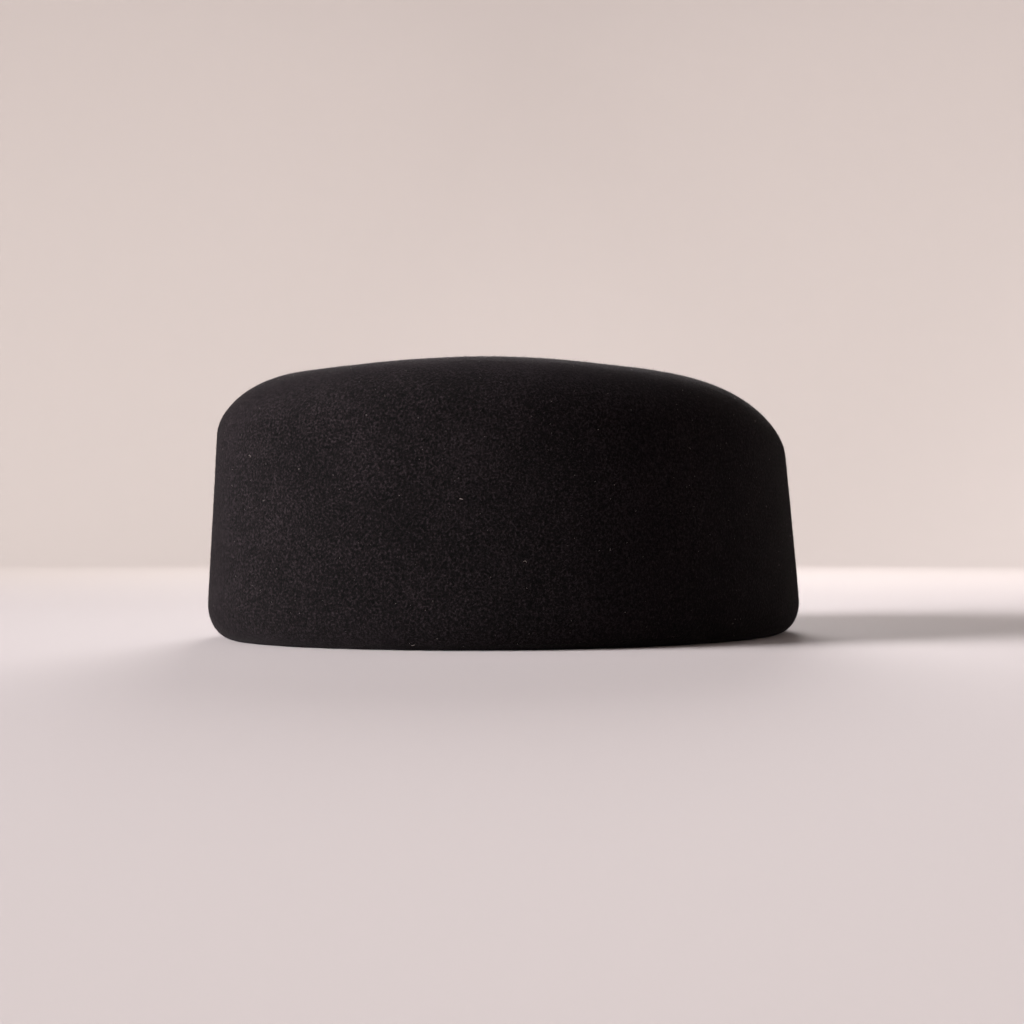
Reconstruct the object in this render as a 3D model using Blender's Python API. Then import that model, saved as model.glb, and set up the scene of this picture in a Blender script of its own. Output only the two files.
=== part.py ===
"""A pillbox hat of blocked felt that stands on its turned-in rim, with a small ribbon tab inside the back.

Lengths are in metres. +Z is up, the front of the hat faces -Y and the wearer's left is +X.
The origin is on the floor, under the middle of the oval.
"""

from math import atan2, copysign, cos, hypot, pi, radians, sin, sqrt, tau

import bmesh
import bpy
from mathutils import Vector

# The oval, measured at the widest outline of the wall
LENGTH = 0.225
WIDTH = 0.186
WIDEST_FORWARD = 0.003  # the widest line lies this far in front of the middle
FRONT_FULLNESS = 1.91  # power of the oval's front half, where 2 is an ellipse and less is more pointed
BACK_FULLNESS = 2.01

# The felt, and the rim that is turned in under the wall
FELT = 0.0025
ROLL_DEPTH = 0.0090  # how far the rim's bend reaches in
ROLL_RISE = 0.0117  # how far it reaches up
FOOT_WIDTH = 0.0015  # the flat that the hat stands on, inside the bend

# How far the wall leans in from the rim to the crown
LEAN_FRONT = 0.0028
LEAN_SIDE = 0.0003
LEAN_BACK = 0.0075
LEAN_POWER = 1.13  # 1 is a straight wall, and more keeps it upright for longer

# The crown, a shallow dome that is lower at the back
CROWN_HEIGHT = 0.097
SIDE_DROP = 0.0075  # from the middle to the widest outline at each side
END_DROP = 0.015  # the same to the front and to the back
BACK_SLOPE = 0.005  # the back is lower by this, and the front higher

# The rounded corner between wall and crown
CORNER_IN = 0.0245
CORNER_DOWN = 0.0167
CORNER_PULL = 0.535  # how far each half of the curve follows its tangent to the sharp corner

# The ribbon tab, folded back on itself and sewn to the inside of the rim
TAB_ANGLE = radians(131)  # round from the front, towards the wearer's left
TAB_WIDTH = 0.010
TAB_REACH = 0.0078  # how far it looks out past the rim's edge
TAB_SEWN_TURN = radians(38)  # how far its sewn end follows the bend upwards
TAB_ROUNDING = 0.7  # 0 is a square nose, and 1 is one that narrows to nothing
RIBBON = 0.0008
FOLD_RADIUS = 0.0011  # of the ribbon's middle line, round the nose
FIT_GAP = 0.0003  # between the ribbon and the felt, and between the ribbon's two layers

# How finely the surfaces are divided
SEGMENTS = 80
ROLL_STEPS = 5
WALL_STEPS = 4
CORNER_STEPS = 8
CROWN_RINGS = 5
LIP_STEPS = 4
TAB_STEPS = 6

FELT_COLOUR = (0.012, 0.010, 0.012, 1.0)
RIBBON_COLOUR = (0.008, 0.010, 0.011, 1.0)
SHARP_ANGLE = radians(50)


def clear_scene():
    """Remove whatever the opened file holds."""
    for thing in list(bpy.data.objects):
        bpy.data.objects.remove(thing, do_unlink=True)


def cloth_material(name, colour, roughness):
    """A plain matte material."""
    material = bpy.data.materials.new(name)
    material.use_nodes = True
    shader = material.node_tree.nodes["Principled BSDF"]
    shader.inputs["Base Color"].default_value = colour
    shader.inputs["Roughness"].default_value = roughness
    shader.inputs["Metallic"].default_value = 0.0
    return material


def outline(angle):
    """Point of the widest outline, with the angle counted from the front towards the wearer's left."""
    forward = cos(angle)
    sideways = sin(angle)
    power = FRONT_FULLNESS if forward > 0 else BACK_FULLNESS
    half_length = LENGTH / 2 - copysign(WIDEST_FORWARD, forward)
    reach = (abs(forward) ** power + abs(sideways) ** power) ** (-1 / power)
    return Vector((WIDTH / 2 * reach * sideways, -half_length * reach * forward - WIDEST_FORWARD, 0))


def outward(angle):
    """Level direction that points straight out of the oval."""
    step = 0.001
    along = outline(angle + step) - outline(angle - step)
    return Vector((along.y, -along.x, 0)).normalized()


def place(angle, inset, height):
    """Point that lies inside the outline by an inset, at a height."""
    point = outline(angle) - outward(angle) * inset
    point.z = height
    return point


def crown_height(x, y):
    """Height of the crown's outer face, were the dome carried on to the outline."""
    across = x / (WIDTH / 2)
    along = y / (LENGTH / 2)
    return CROWN_HEIGHT - SIDE_DROP * across**2 - END_DROP * along**2 - BACK_SLOPE * along


def crown_steepness(x, y):
    """Slope of the crown at a point, in its steepest direction."""
    across = 2 * SIDE_DROP * x / (WIDTH / 2) ** 2
    along = (2 * END_DROP * y / (LENGTH / 2) + BACK_SLOPE) / (LENGTH / 2)
    return hypot(across, along)


def crown_over(angle, inset):
    """Height of the crown over a point inside the outline."""
    point = place(angle, inset, 0)
    return crown_height(point.x, point.y)


def lean(angle):
    """How far in the wall has come where it meets the crown's corner."""
    ends = LEAN_FRONT if cos(angle) > 0 else LEAN_BACK
    return ends * cos(angle) ** 2 + LEAN_SIDE * sin(angle) ** 2


def bend_point(turn, depth):
    """Inset and height of a point in the rim's bend, at a depth under the felt's outer face."""
    run = ROLL_DEPTH * cos(turn)
    climb = ROLL_RISE * sin(turn)
    size = hypot(run, climb)
    inset = ROLL_DEPTH * (1 - sin(turn)) + climb / size * depth
    height = ROLL_RISE * (1 - cos(turn)) + run / size * depth
    return inset, height


def rim_points():
    """The rim from its inner edge: the flat foot, and the bend up to the wall."""
    points = [(ROLL_DEPTH + FOOT_WIDTH, 0.0)]
    for step in range(ROLL_STEPS + 1):
        points.append(bend_point(pi / 2 * step / ROLL_STEPS, 0.0))
    return points


def wall_points(wall_inset, wall_height):
    """The wall above the bend, which leans in as it goes up."""
    points = []
    for step in range(1, WALL_STEPS + 1):
        share = step / WALL_STEPS
        points.append((wall_inset * share**LEAN_POWER, ROLL_RISE + wall_height * share))
    return points


def cubic(share, start, first_pull, second_pull, end):
    """Value of a cubic curve at a share of its way."""
    rest = 1 - share
    return rest**3 * start + 3 * rest**2 * share * first_pull + 3 * rest * share**2 * second_pull + share**3 * end


def corner_points(angle, start, wall_slope):
    """The rounded corner from the top of the wall to the crown, a cubic curve that follows both at its ends."""
    end_inset = start[0] + CORNER_IN
    end = (end_inset, crown_over(angle, end_inset))
    step = 0.0005
    crown_slope = (crown_over(angle, end_inset + step) - crown_over(angle, end_inset - step)) / (2 * step)
    # The sharp corner is where the wall's line and the crown's line would meet
    run = end[0] - start[0] + wall_slope * start[1]
    tip_height = (end[1] - crown_slope * run) / (1 - crown_slope * wall_slope)
    tip = (start[0] + wall_slope * (tip_height - start[1]), tip_height)
    points = []
    for count in range(1, CORNER_STEPS + 1):
        share = count / CORNER_STEPS
        spot = []
        for low, sharp, high in zip(start, tip, end):
            first_pull = low + CORNER_PULL * (sharp - low)
            second_pull = high + CORNER_PULL * (sharp - high)
            spot.append(cubic(share, low, first_pull, second_pull, high))
        points.append(tuple(spot))
    return points


def section(angle):
    """Outer section of the hat from the rim's inner edge to the crown, as pairs of inset and height."""
    wall_inset = lean(angle)
    wall_height = crown_over(angle, wall_inset) - CORNER_DOWN - ROLL_RISE
    wall_slope = LEAN_POWER * wall_inset / wall_height
    points = rim_points() + wall_points(wall_inset, wall_height)
    return points + corner_points(angle, points[-1], wall_slope)


def offset_line(points, distance):
    """The same section moved into the felt by a distance, square to itself."""
    moved = []
    last = len(points) - 1
    for number, (inset, height) in enumerate(points):
        before = points[max(number - 1, 0)]
        after = points[min(number + 1, last)]
        run = after[0] - before[0]
        climb = after[1] - before[1]
        size = hypot(run, climb)
        moved.append((inset + climb / size * distance, height - run / size * distance))
    return moved


def lip_points(upper, lower):
    """The felt's rounded edge at the opening, from its upper face to its lower one."""
    middle_inset = (upper[0] + lower[0]) / 2
    middle_height = (upper[1] + lower[1]) / 2
    radius = hypot(upper[0] - lower[0], upper[1] - lower[1]) / 2
    start = atan2(upper[1] - middle_height, upper[0] - middle_inset)
    points = []
    for step in range(1, LIP_STEPS):
        turn = start - pi * step / LIP_STEPS
        points.append((middle_inset + radius * cos(turn), middle_height + radius * sin(turn)))
    return points


def felt_rings():
    """Rings of the felt below the crown: those of its outer face, its inner face and its edge."""
    outer_columns = []
    inner_columns = []
    edge_columns = []
    for number in range(SEGMENTS):
        angle = tau * number / SEGMENTS
        outer = section(angle)
        inner = offset_line(outer, FELT)
        edge = lip_points(inner[0], outer[0])
        outer_columns.append([place(angle, *spot) for spot in outer])
        inner_columns.append([place(angle, *spot) for spot in inner])
        edge_columns.append([place(angle, *spot) for spot in edge])
    return [list(zip(*columns)) for columns in (outer_columns, inner_columns, edge_columns)]


def crown_rings(last_ring, depth):
    """Rings of the crown inside the corner's last ring, at a depth under its outer face, and its middle point."""
    rings = []
    for ring in range(1, CROWN_RINGS + 1):
        share = 1 - ring / (CROWN_RINGS + 1)
        points = []
        for spot in last_ring:
            x = spot.x * share
            y = spot.y * share
            points.append(Vector((x, y, crown_height(x, y) - depth * sqrt(1 + crown_steepness(x, y) ** 2))))
        rings.append(points)
    return rings, Vector((0, 0, CROWN_HEIGHT - depth * sqrt(1 + crown_steepness(0, 0) ** 2)))


def add_ring(mesh, points):
    """New vertices for one ring."""
    return [mesh.verts.new(point) for point in points]


def bridge(mesh, first, second):
    """A band of quads between two rings of the same count."""
    for number in range(len(first)):
        mesh.faces.new((first[number - 1], first[number], second[number], second[number - 1]))


def fan(mesh, ring, middle_point):
    """Triangles that close a ring at one point."""
    middle = mesh.verts.new(middle_point)
    for number in range(len(ring)):
        mesh.faces.new((ring[number - 1], ring[number], middle))


def finish_object(name, mesh, material):
    """Turn built geometry into a named, smooth shaded object whose faces point out."""
    bmesh.ops.recalc_face_normals(mesh, faces=mesh.faces)
    data = bpy.data.meshes.new(name)
    mesh.to_mesh(data)
    mesh.free()
    data.materials.append(material)
    data.shade_smooth()
    data.set_sharp_from_angle(angle=SHARP_ANGLE)
    thing = bpy.data.objects.new(name, data)
    bpy.context.scene.collection.objects.link(thing)


def make_felt_body(material):
    """Crown, wall and turned-in rim, one hollow felt shell."""
    outer, inner, edge = felt_rings()
    outer_crown, outer_middle = crown_rings(outer[-1], 0.0)
    inner_crown, inner_middle = crown_rings(inner[-1], FELT)
    mesh = bmesh.new()
    outside = [add_ring(mesh, ring) for ring in outer + outer_crown]
    inside = [add_ring(mesh, ring) for ring in inner + inner_crown]
    lip = [add_ring(mesh, ring) for ring in edge]
    # One strip of rings runs from the crown's middle down the inside, round the lip and up the outside
    strip = inside[::-1] + lip + outside
    for first, second in zip(strip, strip[1:]):
        bridge(mesh, first, second)
    fan(mesh, inside[-1], inner_middle)
    fan(mesh, outside[-1], outer_middle)
    finish_object("felt_body", mesh, material)


def tab_line():
    """Middle line of the folded ribbon: along the felt, out past the rim, round the nose and back on top."""
    low_depth = FELT + FIT_GAP + RIBBON / 2
    top_depth = low_depth + RIBBON + FIT_GAP
    rim_edge = ROLL_DEPTH + FOOT_WIDTH + FELT / 2
    fold_inset = rim_edge + TAB_REACH - RIBBON / 2 - FOLD_RADIUS
    seat_turns = [TAB_SEWN_TURN * step / TAB_STEPS for step in range(TAB_STEPS + 1)]
    runs = [step / TAB_STEPS for step in range(1, TAB_STEPS)]
    points = [bend_point(turn, low_depth) for turn in reversed(seat_turns)]
    points += [(ROLL_DEPTH + (fold_inset - ROLL_DEPTH) * share, low_depth) for share in runs]
    for step in range(2 * TAB_STEPS + 1):
        turn = pi * step / (2 * TAB_STEPS)
        points.append((fold_inset + FOLD_RADIUS * sin(turn), low_depth + FOLD_RADIUS * (1 - cos(turn))))
    fold_top = low_depth + 2 * FOLD_RADIUS
    for share in runs:
        height = fold_top + (top_depth - fold_top) * share
        points.append((fold_inset + (ROLL_DEPTH - fold_inset) * share, height))
    return points + [bend_point(turn, top_depth) for turn in seat_turns]


def make_back_tab(material):
    """The ribbon, swept along its middle line and narrower towards its nose."""
    line = tab_line()
    along = Vector((0, 0, 1)).cross(outward(TAB_ANGLE))
    nose = max(inset for inset, height in line)
    mesh = bmesh.new()
    rings = []
    for low, high in zip(offset_line(line, -RIBBON / 2), offset_line(line, RIBBON / 2)):
        share = max(0.0, ((low[0] + high[0]) / 2 - ROLL_DEPTH) / (nose - ROLL_DEPTH))
        side = along * TAB_WIDTH / 2 * sqrt(1 - TAB_ROUNDING * min(share, 1.0) ** 3)
        first = place(TAB_ANGLE, *low)
        second = place(TAB_ANGLE, *high)
        rings.append(add_ring(mesh, (first - side, first + side, second + side, second - side)))
    for first, second in zip(rings, rings[1:]):
        bridge(mesh, first, second)
    mesh.faces.new(rings[0])
    mesh.faces.new(rings[-1])
    finish_object("back_tab", mesh, material)


clear_scene()
make_felt_body(cloth_material("felt", FELT_COLOUR, 0.95))
make_back_tab(cloth_material("ribbon", RIBBON_COLOUR, 0.6))
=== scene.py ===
"""A pillbox hat of blocked black wool felt on a pale floor, with a small ribbon tab inside its rim.

Lengths are in metres. +Z is up, the front of the hat faces -Y and the wearer's left is +X.
"""

from math import atan2, copysign, cos, exp, hypot, pi, radians, sin, sqrt, tau

import bmesh
import bpy
import numpy as np
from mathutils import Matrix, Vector, noise


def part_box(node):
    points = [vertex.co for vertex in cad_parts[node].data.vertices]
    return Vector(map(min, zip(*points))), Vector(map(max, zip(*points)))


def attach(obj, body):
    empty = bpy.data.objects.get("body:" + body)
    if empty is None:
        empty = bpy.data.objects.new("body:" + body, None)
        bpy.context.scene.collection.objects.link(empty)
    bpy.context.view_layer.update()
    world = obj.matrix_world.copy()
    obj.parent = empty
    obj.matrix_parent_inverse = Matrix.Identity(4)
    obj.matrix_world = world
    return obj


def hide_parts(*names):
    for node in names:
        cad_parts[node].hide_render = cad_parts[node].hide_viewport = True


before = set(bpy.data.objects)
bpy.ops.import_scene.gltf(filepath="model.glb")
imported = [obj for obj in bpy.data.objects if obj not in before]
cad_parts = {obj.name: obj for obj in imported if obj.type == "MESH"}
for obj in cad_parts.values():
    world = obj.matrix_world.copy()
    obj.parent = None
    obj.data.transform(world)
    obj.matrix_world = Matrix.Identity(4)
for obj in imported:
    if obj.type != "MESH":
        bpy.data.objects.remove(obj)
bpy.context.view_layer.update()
felt_low, felt_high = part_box("felt_body")

# The oval, measured at the widest outline of the wall
LENGTH = felt_high.y - felt_low.y
WIDTH = felt_high.x - felt_low.x
WIDEST_FORWARD = 0.003  # the widest line lies this far in front of the middle
FRONT_FULLNESS = 1.91  # power of the oval's front half, where 2 is an ellipse and less is more pointed
BACK_FULLNESS = 2.01

# The felt, and the rim that is turned in under the wall
FELT = 0.0025
ROLL_DEPTH = 0.0090
ROLL_RISE = 0.0117
FOOT_WIDTH = 0.0015  # the flat that the hat stands on, inside the bend

# How far the wall leans in from the rim to the crown
LEAN_FRONT = 0.0028
LEAN_SIDE = 0.0003
LEAN_BACK = 0.0075
LEAN_POWER = 1.13  # more keeps the lower wall upright

# The crown, a shallow dome that is lower at the back, and its rounded corner
SIDE_DROP = 0.0075
END_DROP = 0.015
BACK_SLOPE = 0.005
CROWN_HEIGHT = felt_high.z - BACK_SLOPE**2 / (4 * END_DROP)
CORNER_IN = 0.0245  # its reach over the crown
CORNER_DOWN = 0.0167  # and down the wall
CORNER_PULL = 0.535  # more makes it sharper

# The ribbon tab, folded back on itself and sewn to the inside of the rim
TAB_ANGLE = radians(131)
TAB_WIDTH = 0.010
TAB_REACH = 0.0078
TAB_SEWN_TURN = radians(38)  # how far it follows the rim's bend
TAB_ROUNDING = 0.7  # how far its nose is rounded off, where 0 is square
RIBBON = 0.0008
FOLD_RADIUS = 0.0011
FIT_GAP = 0.0003  # between the ribbon and the felt, and between its layers

# How finely the felt is divided
COLUMNS = 400
OUTER_ROWS = {"foot": 4, "bend": 16, "wall": 42, "corner": 26, "crown": 42}
INNER_ROWS = {"foot": 2, "bend": 10, "wall": 34, "corner": 20, "crown": 34}
LIP_ROWS = 7

# Small steps, in radians and in metres, that directions and slopes are measured over
TURN_STEP = 0.001
INSET_STEP = 0.0005

# The uneven hand-blocked surface: waves of the crown's edge, then soft dents all over
# Each row: degrees round from the front, how far it stands out, and how far it spreads in degrees
EDGE_WAVES = (
    (20, -0.0009, 15),
    (62, 0.0011, 15),
    (90, -0.0007, 10),
    (117, 0.0006, 12),
    (190, -0.0004, 22),
    (236, 0.0005, 20),
    (282, -0.0004, 18),
    (325, 0.0005, 16),
)
EDGE_HEIGHT = 0.084
EDGE_SPREAD = 0.013
# Each row: distance between dents, and how deep they are
DENTS = ((0.055, 0.00035), (0.021, 0.00014), (0.008, 0.00005))
STILL_BELOW = 0.0015  # the foot stays flat up to here
MOVING_ABOVE = 0.014  # and the felt is fully uneven from here
RISING_FROM = 0.6 * CROWN_HEIGHT  # from here up to the crown, unevenness turns from sideways to upwards


def outline(angle):
    """Point of the widest outline, with the angle counted from the front towards the wearer's left."""
    forward = cos(angle)
    sideways = sin(angle)
    power = FRONT_FULLNESS if forward > 0 else BACK_FULLNESS
    half_length = LENGTH / 2 - copysign(WIDEST_FORWARD, forward)
    reach = (abs(forward) ** power + abs(sideways) ** power) ** (-1 / power)
    return Vector((WIDTH / 2 * reach * sideways, -half_length * reach * forward - WIDEST_FORWARD, 0))


def outward(angle):
    """Level direction that points straight out of the oval."""
    along = outline(angle + TURN_STEP) - outline(angle - TURN_STEP)
    return Vector((along.y, -along.x, 0)).normalized()


def place(angle, inset, height):
    """Point that lies inside the outline by an inset, at a height."""
    point = outline(angle) - outward(angle) * inset
    point.z = height
    return point


def crown_height(x, y):
    """Height of the crown's outer face, were the dome carried on to the outline."""
    across = x / (WIDTH / 2)
    along = y / (LENGTH / 2)
    return CROWN_HEIGHT - SIDE_DROP * across**2 - END_DROP * along**2 - BACK_SLOPE * along


def crown_steepness(x, y):
    """Slope of the crown at a point, in its steepest direction."""
    across = 2 * SIDE_DROP * x / (WIDTH / 2) ** 2
    along = (2 * END_DROP * y / (LENGTH / 2) + BACK_SLOPE) / (LENGTH / 2)
    return hypot(across, along)


def crown_over(angle, inset):
    """Height of the crown over a point inside the outline."""
    point = place(angle, inset, 0)
    return crown_height(point.x, point.y)


def lean(angle):
    """How far in the wall has come where it meets the crown's corner."""
    ends = LEAN_FRONT if cos(angle) > 0 else LEAN_BACK
    return ends * cos(angle) ** 2 + LEAN_SIDE * sin(angle) ** 2


def bend_point(turn, depth):
    """Inset and height of a point in the rim's bend, at a depth under the felt's outer face."""
    run = ROLL_DEPTH * cos(turn)
    climb = ROLL_RISE * sin(turn)
    size = hypot(run, climb)
    inset = ROLL_DEPTH * (1 - sin(turn)) + climb / size * depth
    height = ROLL_RISE * (1 - cos(turn)) + run / size * depth
    return inset, height


def cubic(share, start, first_pull, second_pull, end):
    """Value of a cubic curve at a share of its way."""
    rest = 1 - share
    pulled = rest * first_pull + share * second_pull
    return rest**3 * start + 3 * rest * share * pulled + share**3 * end


def corner_points(angle, start, wall_slope, steps):
    """The rounded corner from the wall to the crown, a cubic curve that follows both at its ends."""
    end_inset = start[0] + CORNER_IN
    end = (end_inset, crown_over(angle, end_inset))
    crown_rise = crown_over(angle, end_inset + INSET_STEP) - crown_over(angle, end_inset - INSET_STEP)
    crown_slope = crown_rise / (2 * INSET_STEP)
    # The sharp corner is where the wall's line and the crown's line would meet
    run = end[0] - start[0] + wall_slope * start[1]
    tip_height = (end[1] - crown_slope * run) / (1 - crown_slope * wall_slope)
    tip = (start[0] + wall_slope * (tip_height - start[1]), tip_height)
    points = []
    for count in range(1, steps + 1):
        spot = []
        for low, sharp, high in zip(start, tip, end):
            first_pull = low + CORNER_PULL * (sharp - low)
            second_pull = high + CORNER_PULL * (sharp - high)
            spot.append(cubic(count / steps, low, first_pull, second_pull, high))
        points.append(tuple(spot))
    return points


def section(angle, rows):
    """Outer section of the hat from the rim's inner edge to the crown, as pairs of inset and height."""
    wall_inset = lean(angle)
    wall_height = crown_over(angle, wall_inset) - CORNER_DOWN - ROLL_RISE
    wall_slope = LEAN_POWER * wall_inset / wall_height
    points = [(ROLL_DEPTH + FOOT_WIDTH * (1 - step / rows["foot"]), 0.0) for step in range(rows["foot"])]
    points += [bend_point(pi / 2 * step / rows["bend"], 0.0) for step in range(rows["bend"] + 1)]
    for step in range(1, rows["wall"] + 1):
        share = step / rows["wall"]
        points.append((wall_inset * share**LEAN_POWER, ROLL_RISE + wall_height * share))
    return points + corner_points(angle, points[-1], wall_slope, rows["corner"])


def offset_line(points, distance):
    """The same section moved into the felt by a distance, square to itself."""
    moved = []
    last = len(points) - 1
    for number, (inset, height) in enumerate(points):
        before = points[max(number - 1, 0)]
        after = points[min(number + 1, last)]
        run = after[0] - before[0]
        climb = after[1] - before[1]
        size = hypot(run, climb)
        moved.append((inset + climb / size * distance, height - run / size * distance))
    return moved


def lip_points(upper, lower):
    """The felt's rounded cut edge at the opening, from its upper face to its lower one."""
    middle_inset = (upper[0] + lower[0]) / 2
    middle_height = (upper[1] + lower[1]) / 2
    radius = hypot(upper[0] - lower[0], upper[1] - lower[1]) / 2
    start = atan2(upper[1] - middle_height, upper[0] - middle_inset)
    turns = [start - pi * step / LIP_ROWS for step in range(1, LIP_ROWS)]
    return [(middle_inset + radius * cos(turn), middle_height + radius * sin(turn)) for turn in turns]


def crown_rings(last_ring, depth, count):
    """The crown's rings inside the corner's last ring, at a depth in the felt, and its middle point."""
    rings = []
    for ring in range(1, count + 1):
        share = 1 - ring / (count + 1)
        points = []
        for spot in last_ring:
            x = spot.x * share
            y = spot.y * share
            points.append(Vector((x, y, crown_height(x, y) - depth * sqrt(1 + crown_steepness(x, y) ** 2))))
        rings.append(points)
    return rings, Vector((0, 0, CROWN_HEIGHT - depth * sqrt(1 + crown_steepness(0, 0) ** 2)))


def smooth_step(low, high, value):
    """0 below low, 1 above high, and a smooth rise between them."""
    share = min(max((value - low) / (high - low), 0.0), 1.0)
    return share * share * (3 - 2 * share)


def unevenness(point):
    """How far the hand-blocked felt stands out at a point."""
    degrees = atan2(point.x / WIDTH, -point.y / LENGTH) * 360 / tau
    from_middle = hypot(point.x / WIDTH, point.y / LENGTH) * 2
    near_edge = exp(-(((point.z - EDGE_HEIGHT) / EDGE_SPREAD) ** 2)) * from_middle
    total = 0.0
    for middle, height, spread in EDGE_WAVES:
        away = (degrees - middle + 180) % 360 - 180
        total += near_edge * height * exp(-((away / spread) ** 2))
    for distance, depth in DENTS:
        total += depth * noise.noise(point / distance)
    return total * smooth_step(STILL_BELOW, MOVING_ABOVE, point.z)


def uneven(point):
    """The point moved straight out of the hat by the felt's unevenness there."""
    rise = smooth_step(RISING_FROM, CROWN_HEIGHT, point.z)
    away = Vector((point.x / WIDTH, point.y / LENGTH, rise / 2))
    if away.length == 0:
        return point
    return point + away.normalized() * unevenness(point)


def link(thing):
    """Put an object in the scene."""
    bpy.context.scene.collection.objects.link(thing)
    return thing


def mesh_object(name, points, faces, material):
    """A smooth shaded object from points and faces, with its faces pointing out."""
    data = bpy.data.meshes.new(name)
    data.from_pydata([tuple(point) for point in points], [], faces)
    mesh = bmesh.new()
    mesh.from_mesh(data)
    bmesh.ops.recalc_face_normals(mesh, faces=mesh.faces)
    mesh.to_mesh(data)
    mesh.free()
    data.materials.append(material)
    data.shade_smooth()
    return link(bpy.data.objects.new(name, data))


def band_faces(row_count, column_count, start=0):
    """Quads between neighbouring rows of points that each close in a ring."""
    faces = []
    for row in range(row_count - 1):
        low = start + row * column_count
        high = low + column_count
        for column in range(column_count):
            after = (column + 1) % column_count
            faces.append((low + column, low + after, high + after, high + column))
    return faces


def fan_faces(first, count, middle):
    """Triangles that close a ring of points at one point."""
    return [(first + number, first + (number + 1) % count, middle) for number in range(count)]


def felt_rows():
    """Rows of points of the felt: those of its outer face, of its inner face and of its cut edge."""
    outer_columns = []
    inner_columns = []
    edge_columns = []
    for number in range(COLUMNS):
        angle = tau * number / COLUMNS
        outer = section(angle, OUTER_ROWS)
        inner = offset_line(section(angle, INNER_ROWS), FELT)
        edge = lip_points(inner[0], outer[0])
        outer_columns.append([place(angle, *spot) for spot in outer])
        inner_columns.append([place(angle, *spot) for spot in inner])
        edge_columns.append([place(angle, *spot) for spot in edge])
    return [list(zip(*columns)) for columns in (outer_columns, inner_columns, edge_columns)]


def make_felt_shell(material):
    """Crown, wall and turned-in rim, one felt shell with both its faces. Also returns its outer points."""
    outer, inner, edge = felt_rows()
    outer_crown, outer_middle = crown_rings(outer[-1], 0.0, OUTER_ROWS["crown"])
    inner_crown, inner_middle = crown_rings(inner[-1], FELT, INNER_ROWS["crown"])
    inside = inner + inner_crown
    outside = outer + outer_crown
    strip = inside[::-1] + edge + outside
    points = [uneven(point) for row in strip for point in row]
    points += [uneven(inner_middle), uneven(outer_middle)]
    faces = band_faces(len(strip), COLUMNS)
    middle = len(strip) * COLUMNS
    faces += fan_faces(0, COLUMNS, middle)
    faces += fan_faces((len(strip) - 1) * COLUMNS, COLUMNS, middle + 1)
    shell = mesh_object("felt_shell", points, faces, material)
    first_outer = (len(inside) + len(edge)) * COLUMNS
    outer_points = np.array([tuple(point) for point in points[first_outer:middle]])
    return shell, outer_points.reshape(len(outside), COLUMNS, 3)


# The nap: short fibres that lie close to the felt, in three pieces, and fewer, longer ones that stand up
# Each kind: how many, shortest and longest, thinnest and thickest, least and most degrees above the surface
SHORT_FIBRES = (47_000, (0.0003, 0.0013), (0.000022, 0.000048), (5, 40))
STRAY_FIBRES = (9_000, (0.0007, 0.0019), (0.000030, 0.000050), (15, 70))
NAP = {
    "felt_nap_1": SHORT_FIBRES,
    "felt_nap_2": SHORT_FIBRES,
    "felt_nap_3": SHORT_FIBRES,
    "felt_strays": STRAY_FIBRES,
}
NAP_SHORTNESS = 2.0  # more makes long and steep fibres rarer
HOLLOW_MIDDLE = (0, 0, CROWN_HEIGHT / 3)  # a point inside the hat, to tell outwards from inwards


def grid_cells(grid):
    """Corners, normals and areas of the quads of a grid of points that closes in rings."""
    after = np.roll(grid, -1, axis=1)
    corners = np.stack((grid[:-1], after[:-1], after[1:], grid[1:]), axis=2)
    across = corners[..., 2, :] - corners[..., 0, :]
    along = corners[..., 3, :] - corners[..., 1, :]
    square = np.cross(across, along)
    size = np.linalg.norm(square, axis=-1)
    return corners.reshape(-1, 4, 3), (square / size[..., None]).reshape(-1, 3), size.reshape(-1) / 2


def scatter(grid, count, chance):
    """Random places on the outer face, spread evenly by area: points and directions straight out."""
    corners, normals, areas = grid_cells(grid)
    outwards = np.sign((normals * (corners.mean(axis=1) - HOLLOW_MIDDLE)).sum(axis=1))
    normals = normals * (1 if outwards.sum() > 0 else -1)
    cells = chance.choice(len(areas), size=count, p=areas / areas.sum())
    right, up = chance.random((2, count, 1))
    lower = corners[cells, 0] * (1 - right) + corners[cells, 1] * right
    upper = corners[cells, 3] * (1 - right) + corners[cells, 2] * right
    return lower * (1 - up) + upper * up, normals[cells]


def side_directions(normals, chance):
    """A random direction along the surface at each place, and the one square to it."""
    random = chance.normal(size=normals.shape)
    along = random - (random * normals).sum(axis=1, keepdims=True) * normals
    along /= np.linalg.norm(along, axis=1, keepdims=True)
    return along, np.cross(normals, along)


def make_nap(name, seed, grid, material):
    """Fibres of the nap as thin closed spikes, each a point on three corners."""
    count, lengths, thicknesses, rises = NAP[name]
    chance = np.random.default_rng(seed)
    roots, normals = scatter(grid, count, chance)
    along, _ = side_directions(normals, chance)
    reach = np.interp(chance.random((count, 1)) ** NAP_SHORTNESS, (0, 1), lengths)
    rise = np.radians(np.interp(chance.random((count, 1)) ** NAP_SHORTNESS, (0, 1), rises))
    radius = np.interp(chance.random((count, 1)), (0, 1), thicknesses) / 2
    way = along * np.cos(rise) + normals * np.sin(rise)
    side = np.cross(way, normals)
    side /= np.linalg.norm(side, axis=1, keepdims=True)
    top = np.cross(side, way)
    rings = [side * cos(turn) + top * sin(turn) for turn in (0, tau / 3, 2 * tau / 3)]
    points = np.stack([roots + ring * radius for ring in rings] + [roots + way * reach], axis=1)
    points = points[points[..., 2].min(axis=1) > 0]  # none is left under the foot
    corners = np.array(((0, 1, 3), (1, 2, 3), (2, 0, 3), (0, 2, 1)))
    faces = (np.arange(len(points))[:, None, None] * 4 + corners).reshape(-1, 3)
    return fast_mesh(name, points.reshape(-1, 3), faces, material)


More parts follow.
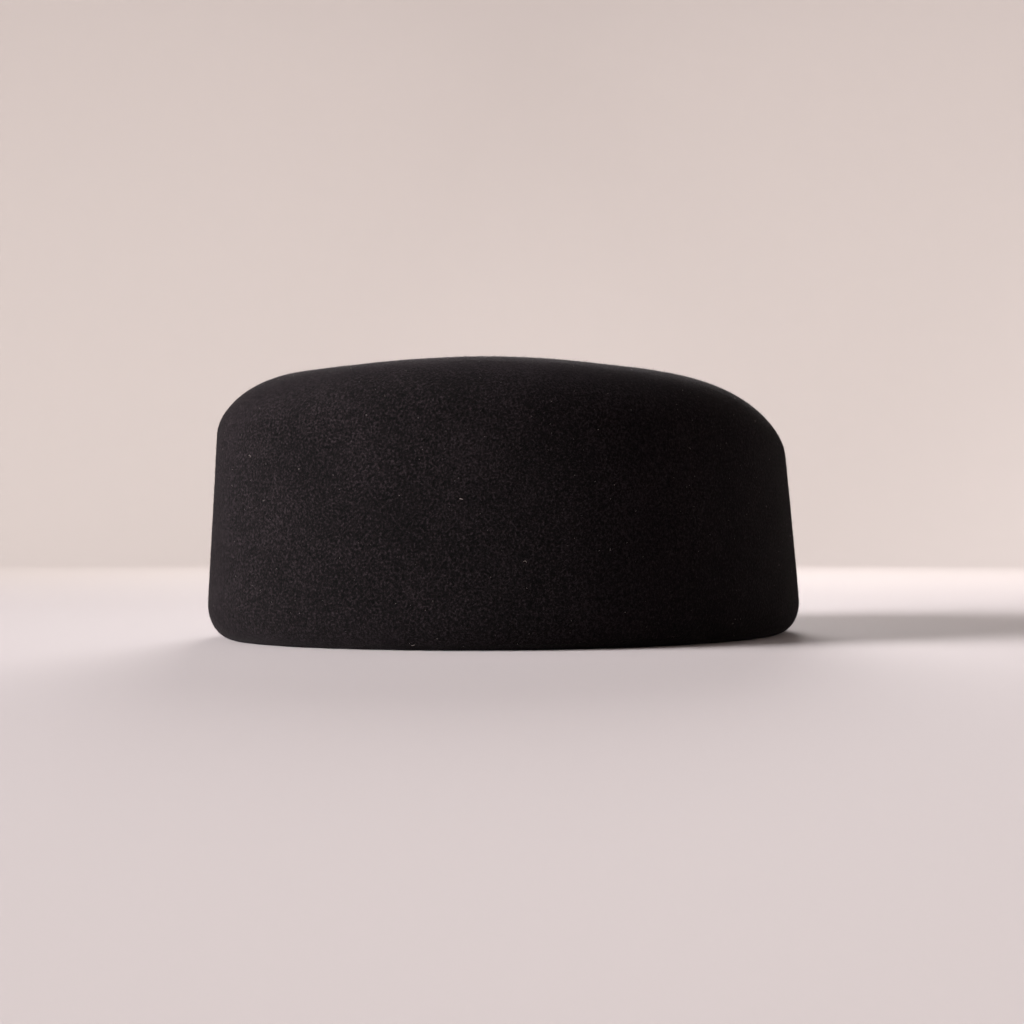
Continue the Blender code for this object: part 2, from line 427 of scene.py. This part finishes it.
def fast_mesh(name, points, faces, material):
    """An object of many triangles from arrays."""
    data = bpy.data.meshes.new(name)
    data.vertices.add(len(points))
    data.vertices.foreach_set("co", points.ravel())
    data.loops.add(faces.size)
    data.loops.foreach_set("vertex_index", faces.ravel())
    data.polygons.add(len(faces))
    data.polygons.foreach_set("loop_start", np.arange(0, faces.size, 3))
    data.update(calc_edges=True)
    data.validate()
    data.materials.append(material)
    return link(bpy.data.objects.new(name, data))


def tube(points, radii, sides):
    """Points and faces of a closed tube along a line, tapered by a radius at each point."""
    made = []
    for number, point in enumerate(points):
        way = points[min(number + 1, len(points) - 1)] - points[max(number - 1, 0)]
        turned = way.to_track_quat("Z", "Y")
        for side in range(sides):
            turn = tau * side / sides
            made.append(point + turned @ Vector((cos(turn), sin(turn), 0)) * radii[number])
    faces = band_faces(len(points), sides)
    faces += [tuple(range(sides)), tuple(range((len(points) - 1) * sides, len(points) * sides))]
    return made, faces


def join(parts):
    """Points and faces of several closed shapes together."""
    points = []
    faces = []
    for more_points, more_faces in parts:
        faces += [tuple(corner + len(points) for corner in face) for face in more_faces]
        points += more_points
    return points, faces


# Lint that clings to the felt: pale curled threads, then specks
# Each row: how many, the shortest and longest, the thinnest and thickest
LINT_KINDS = (
    (46, (0.0003, 0.0012), (0.00007, 0.00013)),
    (680, (0.00014, 0.00042), (0.00006, 0.00011)),
)
LINT_STEPS = 5
LINT_SIDES = 4
LINT_SEED = 29
LINT_CURL = 1.6  # the most that a thread bends sideways, to its length
LINT_SEAT = 0.8  # height of a thread's ends over the felt, to its radius
LINT_HUMP = 0.12  # how far its middle stands up, to its length
LINT_TIP = 0.35  # thickness far out at its ends, to the middle's
LINT_TAPER = 0.1  # share of the taper that is cut off at each end


def make_lint(grid, material):
    """Short curled threads that lie on the felt."""
    chance = np.random.default_rng(LINT_SEED)
    parts = []
    for count, lengths, thicknesses in LINT_KINDS:
        roots, normals = scatter(grid, count, chance)
        sides = side_directions(normals, chance)
        for root, normal, first, second in zip(*(map(Vector, part) for part in (roots, normals, *sides))):
            reach = chance.uniform(*lengths)
            radius = chance.uniform(*thicknesses) / 2
            curl = chance.uniform(-LINT_CURL, LINT_CURL)
            line = []
            radii = []
            for step in range(LINT_STEPS + 1):
                share = step / LINT_STEPS
                hump = radius * LINT_SEAT + reach * LINT_HUMP * sin(pi * share)
                way = first * share + second * curl * share * (1 - share)
                line.append(root + normal * hump + way * reach)
                fullness = sin(pi * (LINT_TAPER + (1 - 2 * LINT_TAPER) * share))
                radii.append(radius * (LINT_TIP + (1 - LINT_TIP) * fullness))
            if min(spot.z for spot in line) > radius:
                parts.append(tube(line, radii, LINT_SIDES))
    return mesh_object("lint", *join(parts), material)


# How finely the ribbon is divided, and the powers that shape its section, an ellipse where both are 1
TAB_STEPS = 16
TAB_ACROSS = 14
EDGE_WIDENING = 1.5  # more makes the rounded edges narrower
EDGE_FULLNESS = 0.35  # less makes the faces flatter

# The thread that sews the ribbon on
STITCHES = 4
STITCH_SPAN = 0.85  # of the ribbon's width
THREAD = 0.00032
THREAD_SIDES = 6


def tab_line():
    """Middle line of the folded ribbon: along the felt, past the rim, round the nose and back on top."""
    low_depth = FELT + FIT_GAP + RIBBON / 2
    top_depth = low_depth + RIBBON + FIT_GAP
    rim_edge = ROLL_DEPTH + FOOT_WIDTH + FELT / 2
    fold_inset = rim_edge + TAB_REACH - RIBBON / 2 - FOLD_RADIUS
    seat_turns = [TAB_SEWN_TURN * step / TAB_STEPS for step in range(TAB_STEPS + 1)]
    runs = [step / TAB_STEPS for step in range(1, TAB_STEPS)]
    points = [bend_point(turn, low_depth) for turn in reversed(seat_turns)]
    points += [(ROLL_DEPTH + (fold_inset - ROLL_DEPTH) * share, low_depth) for share in runs]
    for step in range(2 * TAB_STEPS + 1):
        turn = pi * step / (2 * TAB_STEPS)
        points.append((fold_inset + FOLD_RADIUS * sin(turn), low_depth + FOLD_RADIUS * (1 - cos(turn))))
    fold_top = low_depth + 2 * FOLD_RADIUS
    for share in runs:
        height = fold_top + (top_depth - fold_top) * share
        points.append((fold_inset + (ROLL_DEPTH - fold_inset) * share, height))
    return points + [bend_point(turn, top_depth) for turn in seat_turns]


def make_ribbon_tab(material):
    """The folded ribbon, a flat band with rounded edges swept along its middle line."""
    line = tab_line()
    along = Vector((0, 0, 1)).cross(outward(TAB_ANGLE))
    nose = max(inset for inset, height in line)
    points = []
    for low, high in zip(offset_line(line, -RIBBON / 2), offset_line(line, RIBBON / 2)):
        share = min(max(0.0, ((low[0] + high[0]) / 2 - ROLL_DEPTH) / (nose - ROLL_DEPTH)), 1.0)
        half_width = TAB_WIDTH / 2 * sqrt(1 - TAB_ROUNDING * share**3)
        first = place(TAB_ANGLE, *low)
        second = place(TAB_ANGLE, *high)
        middle = (first + second) / 2
        # Round the section: out along one face, round the edge and back along the other
        for number in range(2 * TAB_ACROSS):
            turn = tau * number / (2 * TAB_ACROSS)
            sideways = copysign(1 - (1 - abs(cos(turn))) ** EDGE_WIDENING, cos(turn))
            thick = copysign(abs(sin(turn)) ** EDGE_FULLNESS, sin(turn))
            points.append(middle + along * half_width * sideways + (second - first) / 2 * thick)
    ring = 2 * TAB_ACROSS
    faces = band_faces(len(line), ring)
    faces += [tuple(range(ring)), tuple(range((len(line) - 1) * ring, len(line) * ring))]
    return mesh_object("ribbon_tab", points, faces, material)


def make_tab_stitches(material):
    """Thread that sews the ribbon's upper end to the inside of the rim."""
    along = Vector((0, 0, 1)).cross(outward(TAB_ANGLE))
    top = FELT + 2 * FIT_GAP + 2 * RIBBON
    # Each stitch leaves the felt above the ribbon's end, crosses the end and dives into the ribbon
    # Each row: turn round the rim's bend, and depth under the felt's outer face
    arc = (
        (TAB_SEWN_TURN + 0.16, FELT - THREAD),
        (TAB_SEWN_TURN + 0.14, FELT + THREAD),
        (TAB_SEWN_TURN + 0.09, (FELT + top) / 2 + THREAD),
        (TAB_SEWN_TURN, top + THREAD),
        (TAB_SEWN_TURN - 0.10, top + THREAD),
        (TAB_SEWN_TURN - 0.16, top),
    )
    parts = []
    for number in range(STITCHES):
        sideways = TAB_WIDTH * ((number + 0.5) / STITCHES - 0.5) * STITCH_SPAN
        line = [place(TAB_ANGLE, *bend_point(turn, depth)) + along * sideways for turn, depth in arc]
        parts.append(tube(line, [THREAD / 2] * len(line), THREAD_SIDES))
    return mesh_object("tab_stitches", *join(parts), material)


def add_node(tree, kind, inputs=None, **settings):
    """A new node, with its settings, and its inputs set to a value or linked to another node's output."""
    made = tree.nodes.new(kind)
    for key, value in settings.items():
        setattr(made, key, value)
    for key, value in (inputs or {}).items():
        if isinstance(value, bpy.types.NodeSocket):
            tree.links.new(value, made.inputs[key])
        else:
            made.inputs[key].default_value = value
    return made


def new_material(name):
    """A material with a Principled shader: its node tree and the shader."""
    material = bpy.data.materials.new(name)
    material.use_nodes = True
    return material, material.node_tree, material.node_tree.nodes["Principled BSDF"]


def set_inputs(shader, **values):
    """Plain numbers and colours on the shader's own sockets, with _ for a space in a name."""
    for key, value in values.items():
        shader.inputs[key.replace("_", " ")].default_value = value


def grain(tree, where, size, detail=2.0, roughness=0.5):
    """Noise with spots of a size."""
    inputs = {"Vector": where, "Scale": 1 / size, "Detail": detail, "Roughness": roughness}
    return add_node(tree, "ShaderNodeTexNoise", inputs).outputs["Fac"]


def sum_of(tree, first, second, first_weight, second_weight):
    """Weighted sum of two values."""
    weighted = add_node(tree, "ShaderNodeMath", {0: first, 1: first_weight}, operation="MULTIPLY")
    inputs = {0: second, 1: second_weight, 2: weighted.outputs[0]}
    return add_node(tree, "ShaderNodeMath", inputs, operation="MULTIPLY_ADD").outputs[0]


def shades(tree, factor, stops):
    """Colours along a value, each stop a place and a colour."""
    ramp = add_node(tree, "ShaderNodeValToRGB", {"Fac": factor})
    elements = ramp.color_ramp.elements
    while len(elements) < len(stops):
        elements.new(0.5)
    for element, (position, colour) in zip(elements, stops):
        element.position = position
        element.color = (*colour, 1.0)
    return ramp.outputs["Color"]


# Felt grain: matted tufts, and hairs that lie in several directions
TUFT = 0.0008
HAIR = 0.00037
HAIR_STRETCH = 5.0
HAIR_TURNS = ((0.3, 0.5, 0.2), (1.2, -0.6, 1.4), (-0.7, 1.1, 2.3))
HAIR_SHARE = 0.48  # of the grain, the rest is tufts
CLOUD = 0.022
CLOUD_SHARE = 0.09  # of the shade, the rest is grain
# Each row: place along the shade, and colour
FELT_SHADES = (
    (0.455, (0.0003, 0.0002, 0.0002)),
    (0.54, (0.0029, 0.0020, 0.0023)),
    (0.70, (0.0184, 0.0139, 0.0152)),
)
FELT_RELIEF = 0.0006
SHEEN_TINT = (1.0, 0.86, 0.88, 1.0)
FIBRE_COLOUR = (0.0080, 0.0058, 0.0064, 1.0)

# Ribbon and lint: size of the pattern, and its shades in rows of place and colour
WEAVE = 0.0003
WEAVE_RELIEF = 0.00008
RIBBON_SHADES = ((0.3, (0.0050, 0.0062, 0.0070)), (0.7, (0.0100, 0.0125, 0.0140)))
LINT_PATCH = 0.004
LINT_SHADES = ((0.35, (0.09, 0.075, 0.07)), (0.65, (0.28, 0.24, 0.22)))


def felt_material():
    """Matte black wool felt with a faint warm sheen."""
    material, tree, shader = new_material("black_wool_felt")
    where = add_node(tree, "ShaderNodeTexCoord").outputs["Object"]
    tufts = grain(tree, where, TUFT, detail=3.0, roughness=0.6)
    hairs = None
    for turns in HAIR_TURNS:
        inputs = {"Vector": where, "Rotation": turns, "Scale": (HAIR_STRETCH, 1, 1)}
        turned = add_node(tree, "ShaderNodeMapping", inputs, vector_type="TEXTURE").outputs["Vector"]
        layer = grain(tree, turned, HAIR, detail=2.0)
        if hairs is None:
            hairs = layer
        else:
            hairs = add_node(tree, "ShaderNodeMath", {0: hairs, 1: layer}, operation="MAXIMUM").outputs[0]
    mat = sum_of(tree, tufts, hairs, 1 - HAIR_SHARE, HAIR_SHARE)
    clouds = grain(tree, where, CLOUD)
    shade = sum_of(tree, mat, clouds, 1 - CLOUD_SHARE, CLOUD_SHARE)
    tree.links.new(shades(tree, shade, FELT_SHADES), shader.inputs["Base Color"])
    inputs = {"Height": mat, "Distance": FELT_RELIEF, "Strength": 1.0}
    tree.links.new(add_node(tree, "ShaderNodeBump", inputs).outputs["Normal"], shader.inputs["Normal"])
    set_inputs(shader, Roughness=0.96, Specular_IOR_Level=0.05, Sheen_Weight=0.012, Sheen_Roughness=0.45)
    set_inputs(shader, Sheen_Tint=SHEEN_TINT)
    return material


def nap_material():
    """Single wool fibres, in one even shade of the felt's own colour."""
    material, _, shader = new_material("wool_fibre")
    set_inputs(shader, Base_Color=FIBRE_COLOUR, Roughness=0.8, Specular_IOR_Level=0.08)
    return material


def ribbon_material():
    """Smooth blue-black ribbon with a fine weave across it."""
    material, tree, shader = new_material("black_ribbon")
    where = add_node(tree, "ShaderNodeTexCoord").outputs["Object"]
    weave = grain(tree, where, WEAVE, detail=1.0)
    tree.links.new(shades(tree, weave, RIBBON_SHADES), shader.inputs["Base Color"])
    inputs = {"Height": weave, "Distance": WEAVE_RELIEF, "Strength": 0.7}
    tree.links.new(add_node(tree, "ShaderNodeBump", inputs).outputs["Normal"], shader.inputs["Normal"])
    set_inputs(shader, Roughness=0.5, Specular_IOR_Level=0.4, Sheen_Weight=0.1, Sheen_Roughness=0.4)
    return material


def lint_material():
    """Pale dust and thread."""
    material, tree, shader = new_material("pale_lint")
    where = add_node(tree, "ShaderNodeTexCoord").outputs["Object"]
    patches = grain(tree, where, LINT_PATCH)
    tree.links.new(shades(tree, patches, LINT_SHADES), shader.inputs["Base Color"])
    set_inputs(shader, Roughness=0.9, Specular_IOR_Level=0.2)
    return material


# The stage: a round pale floor that curves up all around
FLOOR_RADIUS = 1.7
FLOOR_RINGS = (0.25, 0.5, 0.75)  # shares of its radius
SWEEP_RADIUS = 1.0
STAGE_HEIGHT = 3.0
STAGE_COLOUR = (0.40, 0.366, 0.359, 1.0)
STAGE_SIDES = 96
SWEEP_STEPS = 24


def make_stage():
    """A seamless floor and wall, lathed in one surface."""
    profile = [(FLOOR_RADIUS * share, 0.0) for share in FLOOR_RINGS]
    for step in range(SWEEP_STEPS + 1):
        turn = pi / 2 * step / SWEEP_STEPS
        profile.append((FLOOR_RADIUS + SWEEP_RADIUS * sin(turn), SWEEP_RADIUS * (1 - cos(turn))))
    profile.append((FLOOR_RADIUS + SWEEP_RADIUS, STAGE_HEIGHT))
    points = []
    for radius, height in profile:
        for side in range(STAGE_SIDES):
            turn = tau * side / STAGE_SIDES
            points.append(Vector((radius * cos(turn), radius * sin(turn), height)))
    points.append(Vector((0, 0, 0)))
    faces = band_faces(len(profile), STAGE_SIDES) + fan_faces(0, STAGE_SIDES, len(points) - 1)
    material, _, shader = new_material("pale_stage")
    set_inputs(shader, Base_Color=STAGE_COLOUR, Roughness=0.9, Specular_IOR_Level=0.1)
    stage = mesh_object("stage", points, faces, material)


# Lights on the hat, each placed round from the front towards the wearer's left, and up from the floor
# name: (degrees round, degrees up, distance, how far over the hat it aims,
#        size, spread in degrees, watts, colour)
LIGHTS = {
    "key": (-8, 19, 2.10, 0.30, 1.15, 45, 27.0, (0.99, 0.965, 1.0)),
    "top": (60, 86, 1.70, 0.0, 1.10, 120, 1.0, (1.0, 0.975, 0.97)),
    "back": (238, 22, 2.10, 0.28, 1.00, 52, 6.5, (1.0, 0.95, 0.95)),
}
AIM = Vector((0, 0, 0.045))
# Lights in a ring that look outwards, at the stage's wall
WASH_COUNT = 6
WASH_RADIUS = 0.9
WASH_HEIGHT = 1.5
WASH_DOWN = 38  # degrees under level
WASH_SIZE = 0.6
WASH_SPREAD = 150
WASH_WATTS = 31.0
WASH_COLOUR = (1.0, 0.955, 0.92)
SKY = (0.06, 0.057, 0.056)  # even light from all round


def towards(round_degrees, up_degrees):
    """Direction from the hat at an angle round from the front and an angle up."""
    around = radians(round_degrees)
    up = radians(up_degrees)
    return Vector((sin(around) * cos(up), -cos(around) * cos(up), sin(up)))


def make_light(name, spot, facing, size, spread, watts, colour):
    """A soft square light that the camera doesn't see."""
    data = bpy.data.lights.new(name, "AREA")
    data.size = size
    data.spread = radians(spread)
    data.energy = watts
    data.color = colour
    lamp = link(bpy.data.objects.new(name, data))
    lamp.location = spot
    lamp.rotation_euler = (-facing).to_track_quat("Z", "Y").to_euler()
    lamp.visible_camera = False


def make_lights():
    """Lights on the hat, lights on the wall, and an even sky."""
    for name, (around, up, distance, lift, *facts) in LIGHTS.items():
        spot = AIM + towards(around, up) * distance
        make_light(name, spot, AIM + Vector((0, 0, lift)) - spot, *facts)
    for number in range(WASH_COUNT):
        around = 360 * number / WASH_COUNT
        spot = towards(around, 0) * WASH_RADIUS + Vector((0, 0, WASH_HEIGHT))
        facing = towards(around, -WASH_DOWN)
        make_light(f"wash_{number}", spot, facing, WASH_SIZE, WASH_SPREAD, WASH_WATTS, WASH_COLOUR)
    world = bpy.data.worlds.new("sky")
    world.use_nodes = True
    world.node_tree.nodes["Background"].inputs["Color"].default_value = (*SKY, 1.0)
    bpy.context.scene.world = world


# The camera, round to the wearer's left of the front and low over the floor
VIEW_ROUND = 61
CAMERA_DISTANCE = 0.56
CAMERA_HEIGHT = 0.034
LENS = 53.0  # millimetres
NEAREST_SEEN = 0.01


def make_camera():
    """The camera looks at the hat's middle."""
    data = bpy.data.cameras.new("camera")
    data.lens = LENS
    data.clip_start = NEAREST_SEEN
    camera = link(bpy.data.objects.new("camera", data))
    camera.location = towards(VIEW_ROUND, 0) * CAMERA_DISTANCE
    camera.location.z = CAMERA_HEIGHT
    camera.rotation_euler = (camera.location - AIM).to_track_quat("Z", "Y").to_euler()
    bpy.context.scene.camera = camera


def carry(piece, slot, *replaced):
    """The piece belongs to the hat and stands for solids of the frame, which it hides. The slot is not
    used.
    """
    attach(piece, "root")
    if replaced:
        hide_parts(*replaced)


make_camera()
make_lights()
make_stage()

felt = felt_material()
ribbon = ribbon_material()
felt_shell, outer_grid = make_felt_shell(felt)
carry(felt_shell, "felt", "felt_body")
fibre = nap_material()
for nap_seed, nap_name in enumerate(NAP, start=1):
    carry(make_nap(nap_name, nap_seed, outer_grid, fibre), "felt")
carry(make_lint(outer_grid, lint_material()), "felt")
carry(make_ribbon_tab(ribbon), "ribbon", "back_tab")
carry(make_tab_stitches(ribbon), "ribbon")

bpy.context.scene.view_settings.view_transform = "Standard"
bpy.context.view_layer.update()
